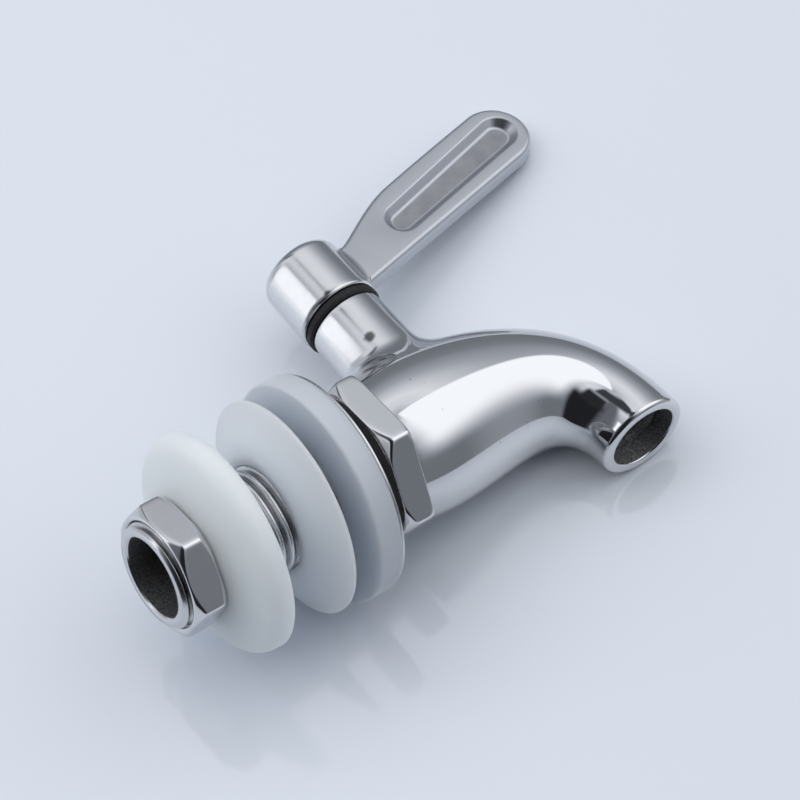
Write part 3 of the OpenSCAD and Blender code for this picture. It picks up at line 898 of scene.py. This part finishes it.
def cast_steel():
    look = Look("cast_steel", {"Metallic": 1.0, "Roughness": 0.36,
                               "Base Color": (0.55, 0.567, 0.60, 1)})
    look.bump(noise(look.tree, 2500, 4), 0.25, 0.06)
    return look.material


def shaded_recess_steel():
    """The floor of the paddle's recess, rough as it left the mould; its darker base colour is
    painted shade in the recess.
    """
    look = Look("shaded_recess_steel", {"Metallic": 1.0, "Roughness": 0.42})
    # painted shade: the base colour is darker than the paddle's faces, for shade in the recess
    blotch = mapped(look.tree, noise(look.tree, 400, 3), 0.35, 0.65, 0, 1)
    look.feed("Base Color", mixed(look.tree, blotch, (0.345, 0.35, 0.375, 1),
                                  (0.41, 0.41, 0.43, 1)))
    look.bump(noise(look.tree, 2500, 4), 0.35, 0.08)
    return look.material


def plain_steel():
    look = Look("plain_steel", {"Metallic": 1.0, "Base Color": (0.62, 0.62, 0.63, 1)})
    grain = noise(look.tree, 1500, 3)
    look.feed("Roughness", mapped(look.tree, grain, 0.3, 0.7, 0.23, 0.28))
    return look.material


def silicone(name, colour, glow):
    look = Look(name, {"Base Color": colour, "Roughness": 0.42, "Subsurface Weight": glow,
                       "Subsurface Radius": (1.0, 1.0, 1.0), "Subsurface Scale": 6 * MM})
    look.bump(noise(look.tree, 700, 2), 0.08, 0.1)
    return look.material


def black_rubber():
    look = Look("black_rubber", {"Base Color": (0.014, 0.014, 0.016, 1)})
    grain = noise(look.tree, 2000, 3)
    look.feed("Roughness", mapped(look.tree, grain, 0.3, 0.7, 0.55, 0.8))
    look.bump(grain, 0.5, 0.1)
    return look.material


def ptfe():
    look = Look("ptfe", {"Base Color": (0.90, 0.90, 0.88, 1)})
    grain = noise(look.tree, 1500, 2)
    look.feed("Roughness", mapped(look.tree, grain, 0.3, 0.7, 0.4, 0.5))
    return look.material


# Every piece gets its materials, and the drawn skins stand for their solids

def dress(piece, *materials):
    """Puts the materials in the piece's slots, in order."""
    slots = piece.data.materials
    for place, material in enumerate(materials):
        if place < len(slots):
            slots[place] = material
        else:
            slots.append(material)


def install(piece, name, body, slot, *materials):
    """Lets a drawn skin stand for the node of that name, on its body."""
    dress(piece, *materials)
    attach(piece, body)
    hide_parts(name)


STEEL = polished_steel()
CAST = cast_steel()
PLAIN = plain_steel()
WHITE = silicone("white_silicone", (0.83, 0.895, 0.985, 1), 1.0)
GREY = silicone("grey_silicone", (0.60, 0.64, 0.69, 1), 0.5)
BLACK = black_rubber()
PTFE = ptfe()
THREAD = machined_steel(0.66, 0.22, groove_shade=True)

# the outlet's copy of the bore's material is lighter: its painted shade is less deep there
install(make_body(), "body", "housing", "polished_steel",
        STEEL, shaded_rough_bore("shaded_rough_bore", 0.20), THREAD, shaded_rough_bore("shaded_rough_outlet", 0.40))
install(make_nut(), "hex_nut", "nut", "polished_steel", machined_steel(0.70, 0.14))
install(make_hub(), "handle_hub", "handle", "polished_steel", STEEL)
install(make_paddle(), "handle_paddle", "handle", "cast_steel", CAST, shaded_recess_steel())
install(coned_ring("outer_washer", "outer_washer_skin", OUTER_RIM, OUTER_ROUNDS),
        "outer_washer", "outer_washer", "white_silicone", WHITE)
install(coned_ring("inner_washer", "inner_washer_skin", INNER_RIM, INNER_ROUNDS),
        "inner_washer", "inner_washer", "white_silicone", WHITE)
install(flat_ring("seal_gasket", "gasket_skin", GASKET_ROUND),
        "seal_gasket", "front_seal", "grey_silicone", GREY)
install(flat_ring("steel_washer", "steel_washer_skin", STEEL_WASHER_ROUND),
        "steel_washer", "front_seal", "plain_steel", PLAIN)

for name, material in (("front_seat", PTFE), ("rear_seat", PTFE), ("stem_washer", PTFE),
                       ("seat_retainer", PLAIN), ("gland_bush", PLAIN), ("stop_pin", PLAIN),
                       ("ball", STEEL), ("stem", PLAIN), ("lock_washer", PLAIN),
                       ("handle_screw", PLAIN), ("hub_ring", BLACK),
                       ("lower_stem_ring", BLACK), ("upper_stem_ring", BLACK)):
    dress(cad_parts[name], material)


# Camera

def make_camera():
    data = bpy.data.cameras.new("camera")
    data.angle = math.radians(CAMERA_FOV)
    data.clip_start = 0.01
    camera = bpy.data.objects.new("camera", data)
    right = Vector(CAMERA_RIGHT).normalized()
    up = Vector(CAMERA_UP).normalized()
    turn = Matrix((right, up, right.cross(up))).transposed().to_4x4()
    camera.matrix_world = Matrix.Translation(Vector(CAMERA_AT) * MM) @ turn
    bpy.context.scene.collection.objects.link(camera)
    bpy.context.scene.camera = camera


# Table, world and lamp

TILT = math.radians(TENT_TILT)
UP = Vector((0, -math.cos(TILT), math.sin(TILT)))


def way_round(degrees):
    """The level direction in the tent at a turn from the camera's side."""
    eye = Vector(CAMERA_AT)
    toward = (eye - UP * eye.dot(UP)).normalized()
    turn = math.radians(degrees)
    return toward * math.cos(turn) + toward.cross(UP) * math.sin(turn)


def past(tree, degrees, limit):
    """0 before a limit along that level direction, and 1 past its fade."""
    reach = vector_node(tree, "DOT_PRODUCT", object_place(tree), way_round(degrees))
    return mapped(tree, reach, limit * MM, (limit + SHEET_FADE) * MM, 0, 1)


def make_floor():
    """The table: the gasket's edge, the barrel's side and the tip of the paddle lie on it."""
    normal = Vector(FLOOR_UP).normalized()
    level = Vector((1, 0, 0))
    level = (level - normal * level.dot(normal)).normalized()
    across = normal.cross(level)
    centre = level * FLOOR_SHIFT * MM - normal * FLOOR_DROP * MM
    corners = [centre + (level * a + across * b) * FLOOR_REACH * MM
               for a, b in ((-1, -1), (1, -1), (1, 1), (-1, 1))]
    mesh = bpy.data.meshes.new("table_top")
    mesh.from_pydata(corners, [], [(0, 1, 2, 3)])
    table = bpy.data.objects.new("table_top", mesh)
    bpy.context.scene.collection.objects.link(table)
    look = Look("table_white", {"Base Color": (0.80, 0.85, 0.925, 1), "Roughness": 0.07,
                                "IOR": 1.75})
    tree = look.tree
    beyond = math_node(tree, "MAXIMUM", past(tree, 180, SHEET_BACK), past(tree, -90, SHEET_RIGHT))
    beyond = math_node(tree, "MAXIMUM", beyond, past(tree, 0, SHEET_FRONT))
    glossy = node(tree, "ShaderNodeLightPath").outputs["Is Glossy Ray"]
    under = node(tree, "ShaderNodeNewGeometry").outputs["Backfacing"]
    clear_share = math_node(tree, "MAXIMUM", math_node(tree, "MULTIPLY", beyond, glossy), under)
    clear = node(tree, "ShaderNodeBsdfTransparent").outputs[0]
    surface = node(tree, "ShaderNodeMixShader", {0: clear_share, 1: look.shader.outputs[0],
                                                 2: clear})
    tree.links.new(surface.outputs[0], tree.nodes["Material Output"].inputs["Surface"])
    dress(table, look.material)


def make_world():
    """A light tent: a plain surround with soft boxes and dark cards."""
    world = bpy.data.worlds.new("studio")
    bpy.context.scene.world = world
    world.use_nodes = True
    tree = world.node_tree
    way = node(tree, "ShaderNodeTexCoord").outputs["Generated"]

    def along(axis):
        return vector_node(tree, "DOT_PRODUCT", way, axis)

    def in_degrees(angle):
        return math_node(tree, "MULTIPLY", angle, 180 / math.pi)

    def soft_edge(value, edge, soft):
        return node(tree, "ShaderNodeMapRange", {"Value": value, "From Min": edge - soft / 2,
                                                 "From Max": edge + soft / 2},
                    interpolation_type="SMOOTHSTEP").outputs[0]

    def soft_span(value, start, end, softness):
        back = math_node(tree, "MULTIPLY", value, -1.0)
        return math_node(tree, "MULTIPLY", soft_edge(value, start, softness[0]),
                         soft_edge(back, -end, softness[1]))

    def blend(share, under, over):
        return node(tree, "ShaderNodeMix", {"Factor": share, "A": under, "B": over},
                    data_type="FLOAT").outputs["Result"]

    height = in_degrees(math_node(tree, "ARCSINE", along(UP)))
    ramp = node(tree, "ShaderNodeValToRGB", {"Fac": mapped(tree, height, -90, 90, 0, 1)})
    stops = ramp.color_ramp.elements
    for place, (at, value) in enumerate(SURROUND):
        stop = stops[place] if place < 2 else stops.new(1.0)
        stop.position = (at + 90) / 180
        stop.color = (value, value, value, 1)
    level = ramp.outputs["Color"]
    for (turn_from, turn_to), turn_soft, (rise_from, rise_to), rise_soft, value in SOFT_BOXES:
        middle = (turn_from + turn_to) / 2
        half = (turn_to - turn_from) / 2
        off = in_degrees(math_node(tree, "ARCTAN2", along(way_round(middle + 90)),
                                   along(way_round(middle))))
        share = math_node(tree, "MULTIPLY", soft_span(off, -half, half, turn_soft),
                          soft_span(height, rise_from, rise_to, rise_soft))
        level = blend(share, level, value)
    seen = node(tree, "ShaderNodeLightPath").outputs["Is Camera Ray"]
    background = tree.nodes["Background"]
    tint = mixed(tree, blend(seen, level, 1.0), DIM_TINT, SEEN_TINT)
    tree.links.new(tint, background.inputs["Color"])
    tree.links.new(blend(seen, level, SEEN_STRENGTH), background.inputs["Strength"])


def make_lamp():
    """The soft lamp on the left, which brings the pale pieces and the table to a plain level."""
    data = bpy.data.lights.new("key_lamp", "AREA")
    data.shape = "DISK"
    data.size = KEY_SIZE
    data.energy = KEY_POWER
    lamp = bpy.data.objects.new("key_lamp", data)
    rise = math.radians(KEY_RISE)
    way = way_round(KEY_TURN) * math.cos(rise) + UP * math.sin(rise)
    lamp.location = way * KEY_DISTANCE
    lamp.visible_glossy = False
    lamp.rotation_euler = way.to_track_quat("Z", "Y").to_euler()
    bpy.context.scene.collection.objects.link(lamp)


make_camera()
make_floor()
make_world()
make_lamp()

scene = bpy.context.scene
scene.view_settings.view_transform = "Standard"
